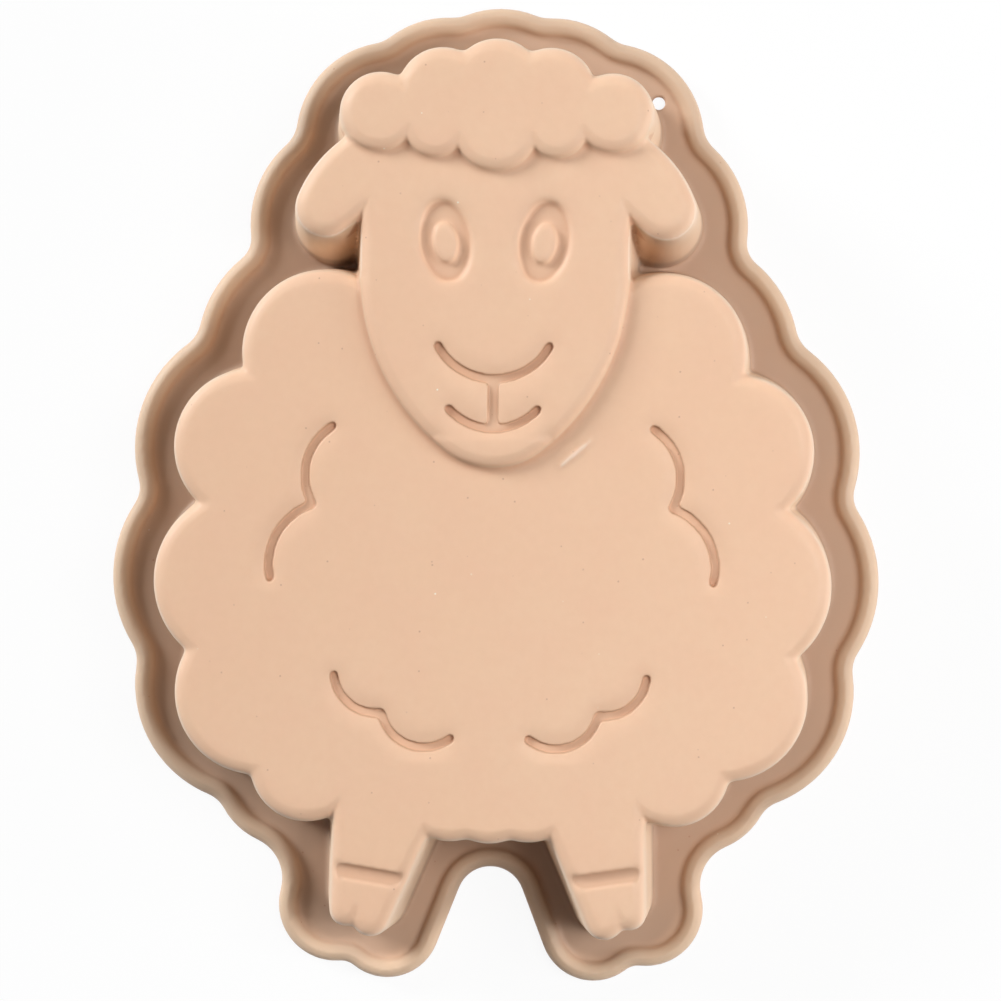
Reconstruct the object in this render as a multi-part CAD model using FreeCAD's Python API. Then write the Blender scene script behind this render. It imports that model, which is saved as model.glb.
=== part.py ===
import FreeCAD, Part
import math
import os

# Lamb cake mould: one silicone moulding over a steel wire that stiffens its rim.
# It lies on its rim with the lamb up: +Z out of the lamb, +Y to its head, z = 0 under the rim.

# Whole mould, in millimetres and degrees
mould_width = 210.0
mould_length = 266.0
flange_thickness = 2.0
wall = 1.8
draft_deg = 6.2
top_round = 3.0
core_round = 0.5
round_steps = 2
overrun = 1.0

# Heights above the resting plane
wool_height = 34.5
face_rise = 3.0
hair_rise = 2.5

# Rim bead, the wire in it and the hole to hang the mould by
bead_width = 5.2
bead_height = 5.0
bead_round = 2.4
bead_steps = 2
wire_diameter = 2.5
wire_sides = 8
wire_bends = 110
hole_diameter = 3.6

# Engraved lines
line_width = 2.1
line_depth = 1.5
stem_width = 2.7

# Crease across each leg above the hoof: steep upper side, floor, and a soft lower side
crease_depth = 1.3
crease_steep_width = 0.6
crease_floor_width = 2.0
crease_soft_width = 1.6

# Raised nib beside the chin, on the lamb's left cheek only
nib_width = 1.4
nib_end_width = 0.6
nib_height = 0.6
nib_slope_width = 0.25

# Eyes: a hollow oval with a raised pupil in it
eye_depth = 1.7
eye_half_length = 11.2
eye_half_width = 7.1
eye_end_radius = 5.3
eye_slope_width = 1.0
eye_lean_deg = 9.0
pupil_half_length = 5.6
pupil_half_width = 3.6
pupil_end_radius = 2.7
pupil_slope_width = 0.8
pupil_sink = 0.2
pupil_wall_share = 0.5

# Egg of the face
face_half_width = 38.7
chin_radius = 23.8

# Places are shares of half the width (x and radii) and of half the length (y).
half_width = mould_width / 2
half_length = mould_length / 2

# Rim from the top of the head down the right side: x, y, radius, and the join to the next lobe
rim_shares = [
    (0.0, 0.805, 0.247, -0.084),
    (0.137, 0.784, 0.250, -0.090),
    (0.282, 0.732, 0.251, -0.086),
    (0.373, 0.554, 0.277, -0.068),
    (0.474, 0.290, 0.312, -0.088),
    (0.612, 0.090, 0.335, -0.074),
    (0.658, -0.175, 0.342, -0.086),
    (0.627, -0.399, 0.312, -0.079),
    (0.535, -0.582, 0.191, -0.110),
    (0.405, -0.850, 0.149, -0.049),
    (0.269, -0.891, 0.138, "line"),
    (0.0, -0.837, -0.088, "line"),
]

# Share of a boss's radius that the core of the wool or the hair has there
core_share = 0.62

# Wool at the foot of its wall, from the top down the right side: x, y, radius
wool_shares = [
    (0.0, 0.226, 0.295),
    (0.424, 0.275, 0.236),
    (0.605, 0.088, 0.223),
    (0.619, -0.177, 0.256),
    (0.582, -0.396, 0.237),
    (0.457, -0.539, 0.171),
    (0.248, -0.497, 0.215),
    (0.098, -0.585, 0.157),
    (0.0, -0.585, 0.161),
]

# The lobes that the core of the wool reaches into, which leave out the hollow above the legs
wool_core_shares = wool_shares[:6] + wool_shares[-1:]

# Hair at the foot of its wall
hair_shares = [
    (0.0, 0.798, 0.149),
    (0.134, 0.782, 0.147),
    (0.287, 0.741, 0.137),
    (0.150, 0.716, 0.121),
    (0.0, 0.713, 0.149),
]

# Right ear at the foot of its wall: root, tip, and the radius that bulges its outer side
ear_shares = [(0.302, 0.650, 0.121), (0.421, 0.556, 0.111)]
ear_bulge_share = 0.362

# Right leg at the foot of its wall: inner top, inner lobe of the hoof, outer lobe, outer top
leg_shares = [
    (0.186, -0.541, 0.130),
    (0.291, -0.836, 0.079),
    (0.355, -0.823, 0.070),
    (0.289, -0.526, 0.130),
]
crease_shares = (0.296, -0.734)
crease_deg = 9.0

# Where the face egg starts, is widest and ends, and the middles of the right eye and pupil
face_top_share = 0.556
face_widest_share = 0.429
face_chin_share = 0.022
eye_shares = (0.122, 0.491)
pupil_shares = (0.122, 0.488)

# Engraved arcs, each by its start, middle and end
mouth_shares = [
    ((0.138, 0.287), (0.0, 0.223), (-0.138, 0.287)),
    ((0.110, 0.165), (0.0, 0.126), (-0.110, 0.165)),
]
stem_shares = ((0.0, 0.221), (0.0, 0.135))
curl_shares = [
    ((0.398, 0.129), (0.462, 0.060), (0.446, -0.025)),
    ((0.446, -0.025), (0.531, -0.078), (0.550, -0.170)),
    ((0.388, -0.358), (0.354, -0.412), (0.269, -0.432)),
    ((0.269, -0.432), (0.199, -0.494), (0.096, -0.480)),
]
nib_shares = ((0.243, 0.107), (0.165, 0.052))
hole_shares = (0.414, 0.809)

face_height = wool_height + face_rise
hair_height = face_height + hair_rise
slope = math.tan(math.radians(draft_deg))


def at(x, y, z=0):
    return FreeCAD.Vector(x, y, z)


def spot(shares):
    return shares[0] * half_width, shares[1] * half_length


def lobe(shares):
    """Circle of an outline: centre and radius."""
    return shares[0] * half_width, shares[1] * half_length, shares[2] * half_width


# An outline is a chain of circles, taken anticlockwise. Two that follow each other are joined by a
# hollow arc (a negative radius), by a line, or directly where they touch.

def joining_circle(a, b, radius):
    """Circle of this radius that touches two circles, hollow if the radius is negative."""
    span = math.hypot(b[0] - a[0], b[1] - a[1])
    from_a = radius - a[2]
    from_b = radius - b[2]
    along = (from_a ** 2 - from_b ** 2 + span ** 2) / (2 * span)
    across = math.sqrt(from_a ** 2 - along ** 2) * math.copysign(1, radius)
    ux = (b[0] - a[0]) / span
    uy = (b[1] - a[1]) / span
    return a[0] + along * ux - across * uy, a[1] + along * uy + across * ux, radius


def touching_angle(a, b):
    """Direction of the common normal of two circles that touch."""
    gap = b[2] - a[2]
    return math.atan2((a[1] - b[1]) / gap, (a[0] - b[0]) / gap)


def line_angle(a, b):
    """Direction of the normal of the straight line that touches two circles."""
    span = math.hypot(b[0] - a[0], b[1] - a[1])
    return math.atan2(b[1] - a[1], b[0] - a[0]) - math.acos((a[2] - b[2]) / span)


def on_circle(circle, angle):
    return at(circle[0] + circle[2] * math.cos(angle), circle[1] + circle[2] * math.sin(angle))


def arc_edge(circle, start, end):
    turn = (end - start) % (2 * math.pi)
    if circle[2] < 0:
        turn = turn - 2 * math.pi
    points = [on_circle(circle, start + share * turn) for share in (0, 0.5, 1)]
    return Part.Arc(*points).toShape()


def outline(circles, joins, z=0):
    count = len(circles)
    joined = []
    for i in range(count):
        a = circles[i]
        b = circles[(i + 1) % count]
        if joins[i] == "line":
            angle = line_angle(a, b)
            joined.append((angle, None, angle))
        elif joins[i] == "touch":
            angle = touching_angle(a, b)
            joined.append((angle, None, angle))
        else:
            between = joining_circle(a, b, joins[i])
            joined.append((touching_angle(a, between), between, touching_angle(b, between)))
    edges = []
    for i in range(count):
        leave, between, arrive = joined[i]
        edges.append(arc_edge(circles[i], joined[i - 1][2], leave))
        if between:
            edges.append(arc_edge(between, leave, arrive))
        elif joins[i] == "line":
            end = on_circle(circles[(i + 1) % count], arrive)
            edges.append(Part.LineSegment(on_circle(circles[i], leave), end).toShape())
    wire = Part.Wire(edges)
    wire.translate(at(0, 0, z))
    return wire


def shrunk(circles, inset):
    return [(x, y, radius - inset) for x, y, radius in circles]


def both_sides(half, joins):
    """Whole outline from its right half, which runs down from the top to the bottom."""
    right = list(zip(half, joins))
    left = [((-x, y, radius), join) for (x, y, radius), join in right[1:-1]]
    circles = [half[0]] + [circle for circle, join in left] + [half[-1]] + half[-2:0:-1]
    down = [joins[0]] + [join for circle, join in left]
    return circles, down + down[::-1]


def mirrored(shape):
    return shape.mirror(at(0, 0), at(1, 0))


def inset_join(join, inset):
    return join if isinstance(join, str) else join - inset


def lofted(circles, joins, levels):
    """Solid through the outlines at (inset, z) levels; every arc keeps its centre and its angle."""
    sections = []
    for inset, z in levels:
        sections.append(outline(shrunk(circles, inset), [inset_join(join, inset) for join in joins], z))
    return Part.makeLoft(sections, True, True)


def quarter_round(radius, from_deg, steps):
    """Points of a round from this angle up to the vertical, about its centre."""
    angles = [math.radians(from_deg + (90 - from_deg) * i / steps) for i in range(steps + 1)]
    return [(radius * math.cos(angle), radius * math.sin(angle)) for angle in angles]


# In what follows, skin is how far a surface lies under the lamb's own: zero for the outside, and
# the wall for the cavity that the cake is baked in.

def block_levels(height, skin):
    """Levels of a drafted wall, from its foot to a rounded top edge."""
    foot = -overrun if skin else flange_thickness
    top = height - skin
    radius = max(top_round - skin, core_round)
    corner = (top - flange_thickness) * slope + skin
    centre = corner + radius * (1 - math.sin(math.radians(draft_deg))) / math.cos(math.radians(draft_deg))
    levels = [((foot - flange_thickness) * slope + skin, foot)]
    for out, up in quarter_round(radius, draft_deg, round_steps):
        levels.append((centre - out, top - radius + up))
    return levels


def block(circles, joins, height, skin):
    """Drafted block on an outline given at the top of the flange, rounded on top."""
    return lofted(circles, joins, block_levels(height, skin))


def boss(circle, height, skin):
    """Round drafted block."""
    levels = block_levels(height, skin)
    profile = [(0, levels[0][1])] + [(circle[2] - inset, z) for inset, z in levels] + [(0, levels[-1][1])]
    points = [at(x, 0, z) for x, z in profile]
    solid = Part.Face(Part.makePolygon(points + [points[0]])).revolve(at(0, 0), at(0, 0, 1), 360)
    solid.translate(at(circle[0], circle[1]))
    return solid


def cloud(shares, core_shares, height, skin):
    """Cloud of round bosses about a core that fills its middle."""
    inner, joins = both_sides([lobe(row) for row in core_shares], ["line"] * len(core_shares))
    core = block([(x, y, radius * core_share) for x, y, radius in inner], joins, height, skin)
    around = both_sides([lobe(row) for row in shares], ["line"] * len(shares))[0]
    return core.fuse([boss(circle, height, skin) for circle in around])


def face(skin):
    top = (0, face_top_share * half_length, face_half_width)
    widest = face_widest_share * half_length
    chin = (0, face_chin_share * half_length + chin_radius, chin_radius)
    drop = widest - chin[1]
    cheek = (face_half_width ** 2 + drop ** 2 - chin_radius ** 2) / (2 * (face_half_width - chin_radius))
    side = cheek - face_half_width
    circles = [top, (side, widest, cheek), chin, (-side, widest, cheek)]
    return block(circles, ["line", "touch", "touch", "line"], face_height, skin)


def ears(skin):
    root, tip = [lobe(row) for row in ear_shares]
    bulge = joining_circle(tip, root, ear_bulge_share * half_width)
    ear = block([root, tip, bulge], ["line", "touch", "touch"], face_height, skin)
    return [ear, mirrored(ear)]


def legs(skin):
    """Both legs, each with two lobes at its foot and a crease above the hoof."""
    inner_top, inner_lobe, outer_lobe, outer_top = [lobe(row) for row in leg_shares]
    sides = [block([inner_top, end, outer_top], ["line"] * 3, wool_height, skin)
             for end in (inner_lobe, outer_lobe)]
    top = wool_height - skin
    floor_start = skin - crease_steep_width
    floor_end = -crease_steep_width - crease_floor_width - skin
    end = floor_end - crease_soft_width
    profile = [(skin, top + overrun), (skin, top), (floor_start, top - crease_depth),
               (floor_end, top - crease_depth), (end, top), (end, top + overrun)]
    points = [at(-half_width / 2, y, z) for y, z in profile]
    crease = Part.Face(Part.makePolygon(points + [points[0]])).extrude(at(half_width, 0))
    crease.rotate(at(0, 0), at(0, 0, 1), crease_deg)
    crease.translate(at(*spot(crease_shares)))
    leg = sides[0].fuse(sides[1]).cut(crease)
    return [leg, mirrored(leg)]


def engraved(circles, joins, level, skin):
    """Cutter for a line, from its bottom to above the surface it is engraved in."""
    bottom = level - skin - line_depth
    wide = [(x, y, radius + skin) for x, y, radius in circles]
    return Part.Face(outline(wide, joins, bottom)).extrude(at(0, 0, line_depth + overrun))


def curved_line(shares, level, skin):
    """Cutter for an engraved arc through three places, with round ends."""
    start, middle, end = [spot(row) for row in shares]
    chord = math.hypot(end[0] - start[0], end[1] - start[1])
    side = (end[0] - start[0]) * (middle[1] - start[1]) - (end[1] - start[1]) * (middle[0] - start[0])
    sagitta = abs(side) / chord
    radius = (chord ** 2 / 4 + sagitta ** 2) / (2 * sagitta)
    if side > 0:
        start, end = end, start
    half = line_width / 2
    joins = [radius + half + skin, half + skin - radius]
    return engraved([(start[0], start[1], half), (end[0], end[1], half)], joins, level, skin)


def stem(skin):
    """Cutter for the straight line between nose and mouth."""
    circles = [(x, y, stem_width / 2) for x, y in [spot(row) for row in stem_shares]]
    return engraved(circles, ["line"] * 2, face_height, skin)


def oval(middle_shares, long_half, short_half, end_radius, levels):
    """Leaning oval of four arcs."""
    reach = long_half - end_radius
    bulge = (short_half ** 2 + reach ** 2 - end_radius ** 2) / (2 * (short_half - end_radius))
    rise = bulge - short_half
    circles = [(0, reach, end_radius), (rise, 0, bulge), (0, -reach, end_radius), (-rise, 0, bulge)]
    solid = lofted(circles, ["touch"] * 4, levels)
    solid.rotate(at(0, 0), at(0, 0, 1), -eye_lean_deg)
    solid.translate(at(*spot(middle_shares)))
    return solid


def eye(skin):
    """Cutter for an eye: a basin that leaves its pupil standing."""
    level = face_height - skin
    floor = level - eye_depth
    over = eye_slope_width / eye_depth * overrun
    basin = oval(eye_shares, eye_half_length, eye_half_width, eye_end_radius,
                 [(eye_slope_width - skin, floor), (-over - skin, level + overrun)])
    stand = eye_depth - pupil_sink
    under = pupil_slope_width / stand * overrun
    thinned = skin * pupil_wall_share
    pupil = oval(pupil_shares, pupil_half_length, pupil_half_width, pupil_end_radius,
                 [(thinned - under, floor - overrun), (thinned + pupil_slope_width, floor + stand)])
    return basin.cut(pupil)


def engraving(skin):
    right = [curved_line(row, wool_height, skin) for row in curl_shares] + [eye(skin)]
    middle = [curved_line(row, face_height, skin) for row in mouth_shares] + [stem(skin)]
    return right + [mirrored(cutter) for cutter in right] + middle


def nib():
    """Small raised ridge on the fleece, widest in its middle."""
    (x1, y1), (x2, y2) = [spot(row) for row in nib_shares]
    end = nib_end_width / 2
    middle = ((x1 + x2) / 2, (y1 + y2) / 2, nib_width / 2)
    levels = [(0, wool_height - overrun), (0, wool_height), (nib_slope_width, wool_height + nib_height)]
    return lofted([(x1, y1, end), middle, (x2, y2, end), middle], ["line"] * 4, levels)


def lamb(skin):
    heads = [face(skin), cloud(hair_shares, hair_shares, hair_height, skin)]
    form = cloud(wool_shares, wool_core_shares, wool_height, skin).fuse(heads + ears(skin) + legs(skin))
    return form.removeSplitter().cut(engraving(skin))


def rim_circles():
    circles, joins = both_sides([lobe(row) for row in rim_shares], [row[3] for row in rim_shares])
    return circles, [join if isinstance(join, str) else join * half_width for join in joins]


def rim_loft(levels):
    """Solid inside the rim's outline, by (inset, z) levels."""
    circles, joins = rim_circles()
    return lofted(circles, joins, levels)


def flange():
    """Flat flange with a round bead along its edge."""
    rise = quarter_round(bead_round, 0, bead_steps)
    outside = [(bead_round - out, bead_height - bead_round + up) for out, up in rise]
    inside = [(bead_width - bead_round + out, z) for (out, up), (inset, z) in zip(rise, outside)]
    inside = inside + [(inside[-1][0], bead_height + overrun)]
    plate = rim_loft([(0, 0)] + outside)
    return plate.cut(rim_loft([(bead_width, flange_thickness)] + inside))


def bent_loft(path, levels):
    """Solid inside a closed run of straight pieces, mitred at its bends, by (inset, z) levels."""
    sections = []
    for inset, z in levels:
        corners = []
        for i, point in enumerate(path):
            before = (point - path[i - 1]).normalize()
            after = (path[(i + 1) % len(path)] - point).normalize()
            inward = at(-before.y - after.y, before.x + after.x)
            corners.append(point + inward * (inset * 2 / inward.Length ** 2) + at(0, 0, z))
        sections.append(Part.makePolygon(corners + [corners[0]]))
    return Part.makeLoft(sections, True, True)


def rim_wire():
    """Closed ring of wire along the middle of the bead, bent in short straight runs."""
    circles, joins = rim_circles()
    middle = bead_width / 2
    line = outline(shrunk(circles, middle), [inset_join(join, middle) for join in joins])
    path = line.discretize(wire_bends + 1)[:-1]
    radius = wire_diameter / 2
    turn = 2 * math.pi / wire_sides
    angles = [(i + 1 / 2) * turn - math.pi / 2 for i in range(wire_sides // 2)]
    section = [(radius * math.cos(angle), bead_height / 2 + radius * math.sin(angle)) for angle in angles]
    outside = bent_loft(path, [(-out, z) for out, z in section])
    return outside.cut(bent_loft(path, section))


def silicone_mould(wire):
    """Flange, bead and lamb in one skin, moulded round the wire."""
    foot = at(*spot(hole_shares), -overrun)
    hole = Part.makeCylinder(hole_diameter / 2, flange_thickness + 2 * overrun, foot)
    body = flange().fuse([lamb(0), nib()]).removeSplitter()
    return body.cut([lamb(wall), wire, hole])


os.makedirs("parts", exist_ok=True)
wire_ring = rim_wire()
pieces = {"silicone_mould": silicone_mould(wire_ring), "rim_wire": wire_ring}
for name, shape in pieces.items():
    shape.exportStep("parts/" + name + ".step")
    print(name, "solids:", len(shape.Solids), "valid:", shape.isValid(), "mm3:", round(shape.Volume))
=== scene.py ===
import math

import bmesh
import bpy
import numpy as np
from mathutils import Euler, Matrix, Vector


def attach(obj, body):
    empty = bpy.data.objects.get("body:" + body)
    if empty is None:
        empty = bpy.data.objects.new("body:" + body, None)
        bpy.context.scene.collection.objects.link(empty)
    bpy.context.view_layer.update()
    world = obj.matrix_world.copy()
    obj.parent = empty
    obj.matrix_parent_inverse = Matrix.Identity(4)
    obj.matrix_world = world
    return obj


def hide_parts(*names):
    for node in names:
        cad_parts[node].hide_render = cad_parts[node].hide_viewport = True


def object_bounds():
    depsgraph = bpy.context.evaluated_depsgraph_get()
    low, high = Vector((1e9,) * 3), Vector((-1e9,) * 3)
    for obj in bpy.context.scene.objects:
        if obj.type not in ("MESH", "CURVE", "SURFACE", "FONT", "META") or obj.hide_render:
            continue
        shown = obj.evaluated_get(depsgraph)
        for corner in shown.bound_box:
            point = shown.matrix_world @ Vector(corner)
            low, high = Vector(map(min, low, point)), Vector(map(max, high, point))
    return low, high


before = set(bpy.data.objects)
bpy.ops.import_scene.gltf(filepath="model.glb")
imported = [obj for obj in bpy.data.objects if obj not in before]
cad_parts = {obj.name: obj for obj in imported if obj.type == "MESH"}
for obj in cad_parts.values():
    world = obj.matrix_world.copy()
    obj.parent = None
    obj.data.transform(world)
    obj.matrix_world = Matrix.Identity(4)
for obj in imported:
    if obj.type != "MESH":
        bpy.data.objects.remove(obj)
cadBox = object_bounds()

scene = bpy.context.scene
scene.view_settings.view_transform = "Standard"
print("frame loaded:", ", ".join(sorted(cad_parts)))


# small helpers for node materials

def newMaterial(name):
    material = bpy.data.materials.new(name)
    material.use_nodes = True
    tree = material.node_tree
    shader = next(node for node in tree.nodes if node.type == "BSDF_PRINCIPLED")
    return material, tree, shader


def addNode(tree, kind, **values):
    node = tree.nodes.new(kind)
    for name, value in values.items():
        if name in node.inputs:
            node.inputs[name].default_value = value
        else:
            setattr(node, name, value)
    return node


def objectPlace(tree):
    return addNode(tree, "ShaderNodeTexCoord").outputs["Object"]


def noiseAt(tree, place, pattern):
    node = addNode(tree, "ShaderNodeTexNoise", Scale=pattern["scale"],
                   Detail=pattern["detail"], Roughness=pattern["roughness"])
    tree.links.new(place, node.inputs["Vector"])
    return node.outputs["Fac"]


def spread(tree, value, low, high, fromLow=0.3, fromHigh=0.7):
    node = addNode(tree, "ShaderNodeMapRange")
    for name, number in (("From Min", fromLow), ("From Max", fromHigh), ("To Min", low), ("To Max", high)):
        node.inputs[name].default_value = number
    tree.links.new(value, node.inputs["Value"])
    return node.outputs["Result"]


def mixedColour(tree, share, first, second, blend="MIX"):
    # inputs 0, 6 and 7 of a colour mix are its share and its two colours
    node = addNode(tree, "ShaderNodeMix", data_type="RGBA", blend_type=blend)
    for socket, value in ((node.inputs[0], share), (node.inputs[6], first), (node.inputs[7], second)):
        if isinstance(value, bpy.types.NodeSocket):
            tree.links.new(value, socket)
        else:
            socket.default_value = (*value, 1.0)
    return node.outputs[2]


def combined(tree, operation, first, second):
    node = addNode(tree, "ShaderNodeMath", operation=operation)
    for socket, value in zip(node.inputs, (first, second)):
        if isinstance(value, bpy.types.NodeSocket):
            tree.links.new(value, socket)
        else:
            socket.default_value = value
    return node.outputs[0]


def seenRays(tree):
    # what the camera sees, straight on, in gloss or through glass
    rays = addNode(tree, "ShaderNodeLightPath").outputs
    straightOrGloss = combined(tree, "MAXIMUM", rays["Is Camera Ray"], rays["Is Glossy Ray"])
    return combined(tree, "MAXIMUM", straightOrGloss, rays["Is Transmission Ray"])


# the silicone: warm beige, satin, faintly mottled, specks, fine moulded grain, painted shade and
# highlights
siliconeLook = {
    "beige": (0.863, 0.562, 0.376),
    "paler": (0.873, 0.592, 0.406),
    "pinker": (0.858, 0.542, 0.373),
    "mottle": (0.800, 0.505, 0.330),
    # painted highlight on the lamb's upper edges and on the nib
    "paintedEdgeHighlight": (0.93, 0.74, 0.60),
    # painted shade: a duller, darker tan on the flange, the bead and the steep walls
    "rimAndWallShade": (0.79, 0.57, 0.40),
    "darkSpeck": (0.66, 0.40, 0.28),
    "paleSpeck": (0.95, 0.84, 0.72),
    "shelterShade": (0.77, 0.76, 0.77),         # what is left of the colour near the lamb's walls
    "floorShade": (0.92, 0.86, 0.85),           # on the flange
    "deepShade": (0.90, 0.885, 0.88),           # low down on the walls
    "hollowShade": (0.89, 0.855, 0.84),         # in the eyes
    "creaseShade": (0.80, 0.76, 0.745),         # in the creases above the hooves
    "lineShade": (0.87, 0.78, 0.74),            # on the floor of an engraved line
    "wallShade": (0.78, 0.70, 0.66),            # and on its walls
    "broadPattern": {"scale": 9.0, "detail": 3.0, "roughness": 0.55},
    "patchPattern": {"scale": 60.0, "detail": 5.0, "roughness": 0.55}, "patchMost": 0.55,
    "mottlePattern": {"scale": 380.0, "detail": 3.0, "roughness": 0.55}, "mottleMost": 0.22,
    "darkSpecks": {"scale": 330.0, "reach": (0.055, 0.11), "rarity": (0.86, 0.91)},
    "paleSpecks": {"scale": 210.0, "reach": (0.035, 0.07), "rarity": (0.90, 0.95)},
    "wearPattern": {"scale": 65.0, "detail": 6.0, "roughness": 0.55}, "roughness": (0.42, 0.54),
    "grainPattern": {"scale": 1600.0, "detail": 2.0, "roughness": 0.6},
    "grainHeight": 0.00002, "grainStrength": 0.25,
    "glow": 0.10, "glowDepth": (0.0014, 0.0010, 0.0008),
    "gloss": 0.34, "bending": 1.41,
}


def specks(tree, place, look):
    cells = addNode(tree, "ShaderNodeTexVoronoi", Scale=look["scale"])
    tree.links.new(place, cells.inputs["Vector"])
    near = spread(tree, cells.outputs["Distance"], 1.0, 0.0, *look["reach"])
    chance = addNode(tree, "ShaderNodeSeparateColor")
    tree.links.new(cells.outputs["Color"], chance.inputs[0])
    chosen = spread(tree, chance.outputs[0], 0.0, 1.0, *look["rarity"])
    return combined(tree, "MULTIPLY", near, chosen)


def shapeShare(tree, name):
    return addNode(tree, "ShaderNodeAttribute", attribute_name=name).outputs["Fac"]


def siliconeMaterial(look):
    material, tree, shader = newMaterial("beige_silicone")
    place = objectPlace(tree)
    broad = spread(tree, noiseAt(tree, place, look["broadPattern"]), 0.0, 1.0)
    patches = spread(tree, noiseAt(tree, place, look["patchPattern"]), 0.0, look["patchMost"])
    mottle = spread(tree, noiseAt(tree, place, look["mottlePattern"]), 0.0, look["mottleMost"])
    colour = mixedColour(tree, broad, look["beige"], look["paler"])
    colour = mixedColour(tree, patches, colour, look["pinker"])
    colour = mixedColour(tree, mottle, colour, look["mottle"])
    # painted shade on the low rim and flange and on the steep walls
    colour = mixedColour(tree, shapeShare(tree, "rim"), colour, look["rimAndWallShade"])
    # painted highlights: paler on the upper edges and on the nib
    for share in ("edge", "ridge"):
        colour = mixedColour(tree, shapeShare(tree, share), colour, look["paintedEdgeHighlight"])
    colour = mixedColour(tree, specks(tree, place, look["darkSpecks"]), colour, look["darkSpeck"])
    colour = mixedColour(tree, specks(tree, place, look["paleSpecks"]), colour, look["paleSpeck"])
    # painted shade: darker near the walls, on the flange, low down, in the eyes, creases and engraved
    # lines
    for share in ("shelter", "floor", "deep", "hollow", "crease", "line", "wall"):
        colour = mixedColour(tree, shapeShare(tree, share), colour, look[share + "Shade"], "MULTIPLY")
    tree.links.new(colour, shader.inputs["Base Color"])
    worn = spread(tree, noiseAt(tree, place, look["wearPattern"]), *look["roughness"])
    tree.links.new(worn, shader.inputs["Roughness"])
    grain = noiseAt(tree, place, look["grainPattern"])
    bump = addNode(tree, "ShaderNodeBump", Strength=look["grainStrength"], Distance=look["grainHeight"])
    tree.links.new(grain, bump.inputs["Height"])
    tree.links.new(bump.outputs["Normal"], shader.inputs["Normal"])
    shader.inputs["Subsurface Weight"].default_value = look["glow"]
    shader.inputs["Subsurface Radius"].default_value = look["glowDepth"]
    shader.inputs["Subsurface Scale"].default_value = 1.0
    shader.inputs["Specular IOR Level"].default_value = look["gloss"]
    shader.inputs["IOR"].default_value = look["bending"]
    return material


# the steel wire in the rim bead, slightly uneven in tone
wireLook = {
    "colour": (0.62, 0.62, 0.63), "streak": (0.5, 0.5, 0.51),
    "roughness": (0.25, 0.4), "streakPattern": {"scale": 300.0, "detail": 4.0, "roughness": 0.55},
}


def wireMaterial(look):
    material, tree, shader = newMaterial("steel_wire")
    streaks = noiseAt(tree, objectPlace(tree), look["streakPattern"])
    colour = mixedColour(tree, spread(tree, streaks, 0.0, 1.0), look["colour"], look["streak"])
    tree.links.new(colour, shader.inputs["Base Color"])
    tree.links.new(spread(tree, streaks, *look["roughness"]), shader.inputs["Roughness"])
    shader.inputs["Metallic"].default_value = 1.0
    return material


# how deep, how creased and how edged each spot of the upper side is, in metres
reliefLook = {
    "pitch": 0.0007, "finePitch": 0.0005, "margin": 0.03, "upward": -0.05,
    "rimFrom": 0.0056, "rimTo": 0.0110,
    "steepFrom": -0.75, "steepTo": -0.30,
    "shelterFrom": 0.0026, "shelterTo": 0.0058,
    "floorFrom": 0.0024, "floorTo": 0.0044,
    # where the nib's painted highlight goes
    "ridgeFrom": 0.00004, "ridgeTo": 0.00020, "ridgeMost": 0.6, "ridgeLevels": (0.03455, 0.0355),
    "ridgeFacing": (0.25, 0.55),
    "deepBlur": 0.008, "deepFrom": 0.004, "deepTo": 0.016,
    "hollowBlur": 0.0032, "hollowFrom": 0.0002, "hollowTo": 0.0011, "hollowAbove": 0.034,
    "creaseBand": (-0.1040, -0.0925), "creaseAbove": 0.0325, "creaseDepth": (0.00012, 0.00065),
    "creaseSide": (0.10, 0.32), "wallSteep": (-0.92, -0.55),
    "lineBlur": 0.0013, "lineFrom": 0.00015, "lineTo": 0.0009, "lineAbove": 0.028,
    "edgeBlur": 0.0020, "edgeFrom": 0.0010, "edgeTo": 0.014,
}


# where the skin is engraved, on both sides of the middle: x and y in metres, and how far its lips dip
engraved = {
    "smile": {"x": (0.0, 0.0175), "y": (0.0300, 0.0455), "lip": 1.0},
    "chin_line": {"x": (0.0, 0.0145), "y": (0.0155, 0.0300), "lip": 1.0},
    "upper_curl": {"x": (0.036, 0.063), "y": (-0.0245, 0.0240), "lip": 1.0},
    "lower_curl": {"x": (0.0065, 0.0465), "y": (-0.0685, -0.0405), "lip": 1.0},
}
hem = {"x": (0.0, 0.024), "y": (-0.100, -0.076), "lip": 0.05}    # small waves that stay crisp
areaBorder = 0.0025                             # over which such an area fades out
eyeShape = {
    "centre": (0.01356, 0.066), "outer": (0.0115, 0.0155), "inner": (0.0052, 0.0083),
    "depth": 0.0017, "blur": 0.0010, "openFrom": 0.00008, "openTo": 0.00135, "lip": 0.55,
}


def ramp(values, start, end):
    share = np.clip((values - start) / (end - start), 0, 1)
    return share * share * (3 - 2 * share)


def meshArrays(mesh):
    places, normals = np.zeros(len(mesh.vertices) * 3), np.zeros(len(mesh.vertices) * 3)
    mesh.vertices.foreach_get("co", places)
    mesh.vertices.foreach_get("normal", normals)
    return places.reshape(-1, 3), normals.reshape(-1, 3)


def gridOver(places, pitch, margin):
    corner = places[:, :2].min(0) - margin
    # two spare rows take in the far corners of the last cell
    size = np.ceil((places[:, :2].max(0) + margin - corner) / pitch).astype(int) + 2
    return size, (places[:, :2] - corner) / pitch


def blurred(heights, steps):
    rows = np.fft.fftfreq(heights.shape[0])[:, None]
    columns = np.fft.rfftfreq(heights.shape[1])[None, :]
    spectrum = np.fft.rfft2(heights) * np.exp(-2 * (math.pi * steps) ** 2 * (rows ** 2 + columns ** 2))
    return np.fft.irfft2(spectrum, heights.shape)


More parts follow.
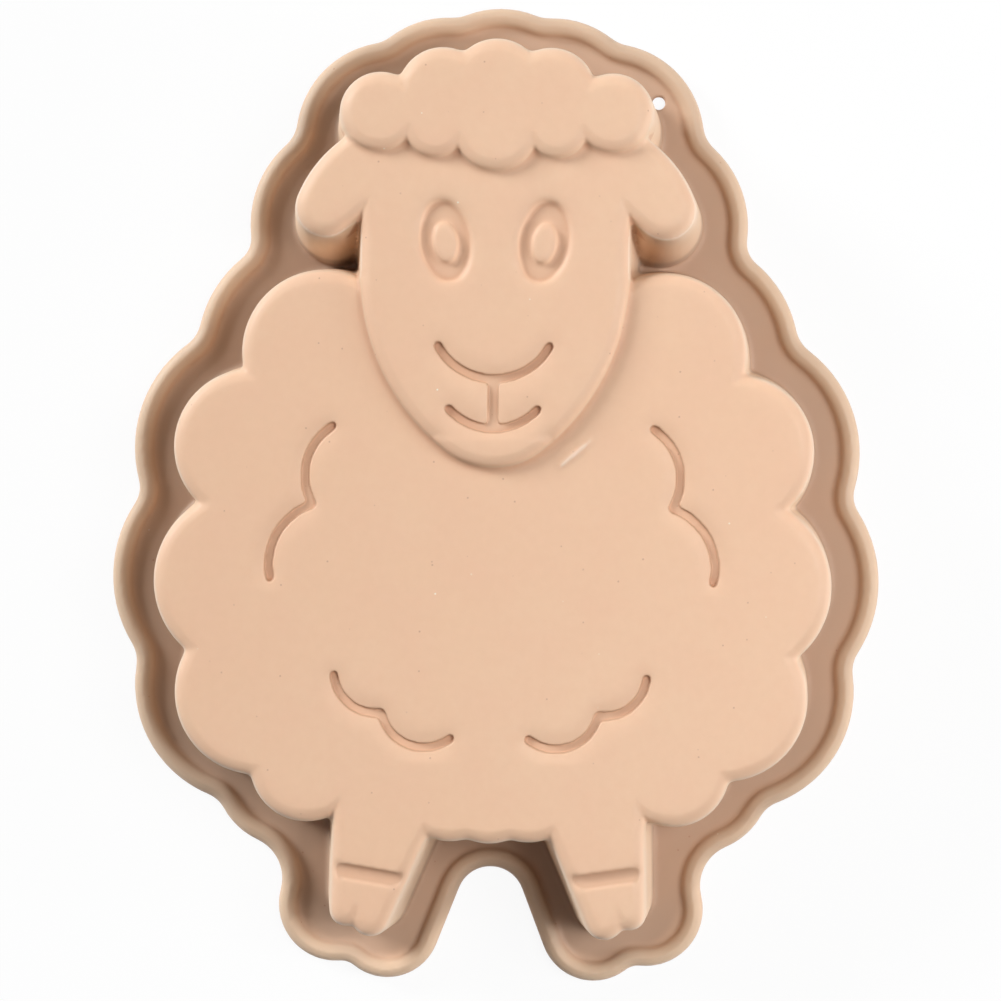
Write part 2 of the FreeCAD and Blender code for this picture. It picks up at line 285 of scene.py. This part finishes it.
def corners(spots):
    # the four grid points round each spot, with the share of each
    left, low = np.floor(spots[:, 0]).astype(int), np.floor(spots[:, 1]).astype(int)
    u, v = spots[:, 0] - left, spots[:, 1] - low
    return ((left, low, (1 - u) * (1 - v)), (left + 1, low, u * (1 - v)),
            (left, low + 1, (1 - u) * v), (left + 1, low + 1, u * v))


def sampled(grid, spots):
    return sum(grid[across, along] * share for across, along, share in corners(spots))


def within(places, area):
    # 1 inside the area, falling to 0 over the border round it
    side, along = np.abs(places[:, 0]), places[:, 1]
    outside = np.maximum(np.maximum(area["x"][0] - side, side - area["x"][1]),
                         np.maximum(area["y"][0] - along, along - area["y"][1]))
    return 1 - ramp(outside, 0, areaBorder)


def oval(places, centre, reach):
    side = (np.abs(places[:, 0]) - centre[0]) / reach[0]
    along = (places[:, 1] - centre[1]) / reach[1]
    return side ** 2 + along ** 2 < 1


def relief(mesh, look):
    places, normals = meshArrays(mesh)
    upper = normals[:, 2] > look["upward"]
    size, spots = gridOver(places, look["pitch"], look["margin"])
    cells = np.rint(spots).astype(int)
    heights = np.zeros(size)
    np.maximum.at(heights, (cells[upper, 0], cells[upper, 1]), places[upper, 2])
    for shift in ((1, 0), (-1, 0), (0, 1), (0, -1)):    # fill the odd empty cell from its neighbour
        beside = np.roll(heights, shift, (0, 1))
        heights = np.where(heights <= 0, beside, heights)
    below = {}
    for name in ("deep", "hollow", "line", "edge"):
        around = blurred(heights, look[name + "Blur"] / look["pitch"])
        below[name] = sampled(around, spots) - places[:, 2]
    return places, normals, below, upper


# shares of painted shade and painted highlight, from the shape round each spot
def addRelief(mesh, look):
    places, normals, below, upper = relief(mesh, look)
    rise = places[:, 2]
    steep = ramp(-normals[:, 2], look["steepFrom"], look["steepTo"])
    low = 1 - ramp(rise, look["rimFrom"], look["rimTo"])
    inLevels = (rise > look["ridgeLevels"][0]) & (rise < look["ridgeLevels"][1])
    onCrease = (places[:, 1] > look["creaseBand"][0]) & (places[:, 1] < look["creaseBand"][1])
    onCrease &= rise > look["creaseAbove"]
    sunk = ramp(rise[onCrease & upper].max() - rise, *look["creaseDepth"])
    across = 1 - ramp(np.abs(normals[:, 0]), *look["creaseSide"])
    inLine = np.maximum.reduce([within(places, area) for area in engraved.values()])
    onRidge = inLevels * ramp(normals[:, 2], *look["ridgeFacing"])
    inHollow = rise > look["hollowAbove"]
    inTop = rise > look["lineAbove"]
    shares = {
        # where the rim's painted shade goes: low down, and on steep walls
        "rim": np.maximum(low, steep),
        "shelter": ramp(below["deep"] + rise, look["shelterFrom"], look["shelterTo"]) * low,
        "floor": 1 - ramp(rise, look["floorFrom"], look["floorTo"]),
        # painted highlight on the nib
        "ridge": look["ridgeMost"] * ramp(-below["line"], look["ridgeFrom"], look["ridgeTo"]) * onRidge,
        "deep": ramp(below["deep"], look["deepFrom"], look["deepTo"]),
        "hollow": ramp(below["hollow"], look["hollowFrom"], look["hollowTo"]) * inHollow,
        "crease": sunk * onCrease * across,
        "line": ramp(below["line"], look["lineFrom"], look["lineTo"]) * inTop * ~onCrease,
        "wall": ramp(-normals[:, 2], *look["wallSteep"]) * inLine * inTop,
        # painted highlight on convex upper edges
        "edge": ramp(-below["edge"], look["edgeFrom"], look["edgeTo"]),
    }
    for name, share in shares.items():
        share = (share * upper).astype(np.float32)
        mesh.attributes.new(name, "FLOAT", "POINT").data.foreach_set("value", share)


# the moulding, from the solid, with every edge softened as moulded silicone is, in metres
skinShape = {
    "faceSize": 0.0005, "weld": 0.000001,
    "softening": 7, "softeningStep": 0.5,
    "rounding": 42,                             # and more of it along the lamb's upper edges
    "roundFrom": 0.00038, "roundTo": 0.0010, "roundAbove": 0.008, "roundSteps": 10,
    "roundFade": (0.014, 0.032),                # it grows up along the walls
    "beadFrom": 0.0028, "beadShare": 0.3,
    "lipShare": 0.26, "lipBlur": 0.0019,        # how far the skin dips towards an edge
    "lipLevel": 0.0325, "lipAbove": 0.0295, "legsBelow": -0.085, "legLip": 0.12,
    "lineDepth": 0.0015, "lineBlur": 0.0005, "openFrom": 0.00022, "openTo": 0.00080,
}


def settle(thing):
    made = bpy.data.meshes.new_from_object(thing.evaluated_get(bpy.context.evaluated_depsgraph_get()))
    thing.modifiers.clear()
    thing.data = made


def evenSkin(solid, shape):
    mesh = solid.data.copy()
    work = bmesh.new()
    work.from_mesh(mesh)
    bmesh.ops.remove_doubles(work, verts=work.verts, dist=shape["weld"])
    work.to_mesh(mesh)
    work.free()
    skin = bpy.data.objects.new("soft_moulding", mesh)
    bpy.context.collection.objects.link(skin)
    even = skin.modifiers.new("even_faces", "REMESH")
    even.mode = "VOXEL"
    even.voxel_size = shape["faceSize"]
    soft = skin.modifiers.new("soft_edges", "SMOOTH")
    soft.factor = shape["softeningStep"]
    soft.iterations = shape["softening"]
    settle(skin)
    return skin


def roundEdges(skin, shape):
    places, _, below, _ = relief(skin.data, reliefLook)
    rise = places[:, 2]
    share = ramp(-below["edge"], shape["roundFrom"], shape["roundTo"]) * ramp(rise, *shape["roundFade"])
    share = np.where(rise > shape["roundAbove"], share, shape["beadShare"] * (rise > shape["beadFrom"]))
    edges = skin.vertex_groups.new(name="upper_edges")
    for step in range(1, shape["roundSteps"] + 1):
        chosen = np.flatnonzero(np.rint(share * shape["roundSteps"]) == step)
        edges.add(chosen.tolist(), step / shape["roundSteps"], "REPLACE")
    rounder = skin.modifiers.new("round_edges", "SMOOTH")
    rounder.factor = shape["softeningStep"]
    rounder.iterations = shape["rounding"]
    rounder.vertex_group = "upper_edges"
    settle(skin)


def topGrid(places, upper, size, spots, level):
    total, weight = np.zeros(size.prod()), np.zeros(size.prod())
    heights = np.maximum(places[upper, 2], level)
    for across, along, share in corners(spots[upper]):
        index = across * size[1] + along
        total += np.bincount(index, share * heights, size.prod())
        weight += np.bincount(index, share, size.prod())
    empty = weight == 0
    return np.where(empty, level, total / np.where(empty, 1, weight)).reshape(size)


def easeLips(skin, shape, look):
    # opens the engraved lines a little, and lets the skin dip towards them and towards the edges
    places, normals = meshArrays(skin.data)
    upper = (normals[:, 2] > look["upward"]) & (places[:, 2] > shape["lipAbove"])
    size, spots = gridOver(places, look["finePitch"], look["margin"])
    grid = topGrid(places, upper, size, spots, shape["lipLevel"])
    lip = np.where(places[:, 1] < shape["legsBelow"], shape["legLip"], shape["lipShare"])
    for area in engraved.values():
        share = within(places, area)
        inside = (share == 1) & upper
        level = places[inside, 2].max()
        around = blurred(np.maximum(level - grid, 0), shape["lineBlur"] / look["finePitch"])
        depth = sampled(around, spots[inside])
        opened = level - shape["lineDepth"] * ramp(depth, shape["openFrom"], shape["openTo"])
        places[inside, 2] = np.minimum(places[inside, 2], opened)
        lip += share * (area["lip"] - lip)
    pupil = oval(places, eyeShape["centre"], eyeShape["inner"])
    rim = oval(places, eyeShape["centre"], eyeShape["outer"]) & ~pupil & upper
    level = places[rim, 2].max()
    around = blurred(np.maximum(level - grid, 0), eyeShape["blur"] / look["finePitch"])
    depth = sampled(around, spots[rim])
    opened = level - eyeShape["depth"] * ramp(depth, eyeShape["openFrom"], eyeShape["openTo"])
    places[rim, 2] = np.minimum(places[rim, 2], opened)
    lip[rim] = eyeShape["lip"]
    lip[pupil] = 0
    lip += within(places, hem) * (hem["lip"] - lip)
    lip[(places[:, 2] > look["ridgeLevels"][0]) & (places[:, 2] < look["ridgeLevels"][1])] = 0
    grid = topGrid(places, upper, size, spots, shape["lipLevel"])
    around = sampled(blurred(grid, shape["lipBlur"] / look["finePitch"]), spots)
    places[:, 2] -= lip * np.maximum(places[:, 2] - around, 0) * upper
    places[:, 2] = np.clip(places[:, 2], cadBox[0][2], cadBox[1][2])
    skin.data.vertices.foreach_set("co", places.ravel())
    skin.data.update()


def softMoulding(shape):
    skin = evenSkin(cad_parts["silicone_mould"], shape)
    roundEdges(skin, shape)
    easeLips(skin, shape, reliefLook)
    skin.data.shade_smooth()
    return skin


moulding = softMoulding(skinShape)
addRelief(moulding.data, reliefLook)
moulding.data.materials.clear()
moulding.data.materials.append(siliconeMaterial(siliconeLook))
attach(moulding, "root")
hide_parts("silicone_mould")
print("moulding softened and coloured:", len(moulding.data.polygons), "faces")

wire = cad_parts["rim_wire"]
wire.data.materials.clear()
wire.data.materials.append(wireMaterial(wireLook))
print("rim wire coloured")


# the floor, a hair under the mould
floorLook = {
    "size": 3.0, "under": 0.00005, "colour": (0.93, 0.93, 0.93), "roughness": 0.8,
    "whiteShare": 0.92,                         # the rest of the look keeps the mould's shadow
}


def whiteFloor(look):
    half, level = look["size"] / 2, -look["under"]
    mesh = bpy.data.meshes.new("floor")
    outline = [(-half, -half, level), (half, -half, level), (half, half, level), (-half, half, level)]
    mesh.from_pydata(outline, [], [(0, 1, 2, 3)])
    floor = bpy.data.objects.new("floor", mesh)
    bpy.context.collection.objects.link(floor)
    material, tree, shader = newMaterial("white_floor")
    shader.inputs["Base Color"].default_value = (*look["colour"], 1.0)
    shader.inputs["Roughness"].default_value = look["roughness"]
    rays = seenRays(tree)
    white = addNode(tree, "ShaderNodeEmission", Strength=1.0)
    mix = addNode(tree, "ShaderNodeMixShader")
    tree.links.new(combined(tree, "MULTIPLY", rays, look["whiteShare"]), mix.inputs[0])
    tree.links.new(shader.outputs[0], mix.inputs[1])
    tree.links.new(white.outputs[0], mix.inputs[2])
    output = next(node for node in tree.nodes if node.type == "OUTPUT_MATERIAL")
    tree.links.new(mix.outputs[0], output.inputs["Surface"])
    mesh.materials.append(material)
    return floor


whiteFloor(floorLook)
print("floor laid")


# one large soft box to the right, a low lamp from the upper left, a strip low on the right
# share is the part of a plain light level that a lamp gives a surface facing up
lampLook = {
    "soft_box": {"turn": 6.0, "height": 57.0, "distance": 1.3, "size": 0.69, "share": 0.54,
                 "tint": (1.02, 1.0, 0.98)},
    "low_lamp": {"turn": 147.0, "height": 19.0, "distance": 4.5, "size": 1.29, "share": 0.31,
                 "tint": (0.97, 1.01, 1.04)},
    "side_strip": {"turn": -6.0, "height": 15.0, "distance": 1.6, "size": 0.35, "share": 0.08,
                   "tint": (0.96, 1.0, 1.06)},
}
surroundingsLook = {"share": 0.075, "tint": (0.92, 1.0, 1.08), "seen": (1.0, 1.0, 1.0)}


def addLamp(name, look):
    turn, height = math.radians(look["turn"]), math.radians(look["height"])
    away = Vector((math.cos(turn) * math.cos(height), math.sin(turn) * math.cos(height), math.sin(height)))
    data = bpy.data.lights.new(name, "AREA")
    data.size = look["size"]
    data.color = look["tint"]
    # pi squared times the distance squared, in watts, lights a facing surface at the plain level
    data.energy = look["share"] * math.pi ** 2 * look["distance"] ** 2 / math.sin(height)
    lamp = bpy.data.objects.new(name, data)
    lamp.location = away * look["distance"]
    lamp.rotation_euler = away.to_track_quat("Z", "Y").to_euler()
    bpy.context.collection.objects.link(lamp)


def addSurroundings(look):
    world = bpy.data.worlds.new("surroundings")
    scene.world = world
    world.use_nodes = True
    tree = world.node_tree
    background = next(node for node in tree.nodes if node.type == "BACKGROUND")
    rays = seenRays(tree)
    tree.links.new(mixedColour(tree, rays, look["tint"], look["seen"]), background.inputs["Color"])
    tree.links.new(spread(tree, rays, look["share"], 1.0, 0.0, 1.0), background.inputs["Strength"])


for name, look in lampLook.items():
    addLamp(name, look)
addSurroundings(surroundingsLook)
print("lamps set:", len(lampLook))


# the camera, straight above and slightly to the right
cameraLook = {
    "at": (0.01636, -0.00145, 0.620), "turn": (-0.0127, 1.3852, 0.6993),
    "lens": 81.057, "sensor": 36.0,
}


def addCamera(look):
    data = bpy.data.cameras.new("camera")
    data.lens = look["lens"]
    data.sensor_width = look["sensor"]
    camera = bpy.data.objects.new("camera", data)
    camera.location = look["at"]
    camera.rotation_euler = Euler([math.radians(angle) for angle in look["turn"]])
    bpy.context.collection.objects.link(camera)
    return camera


scene.camera = addCamera(cameraLook)
print("camera set")
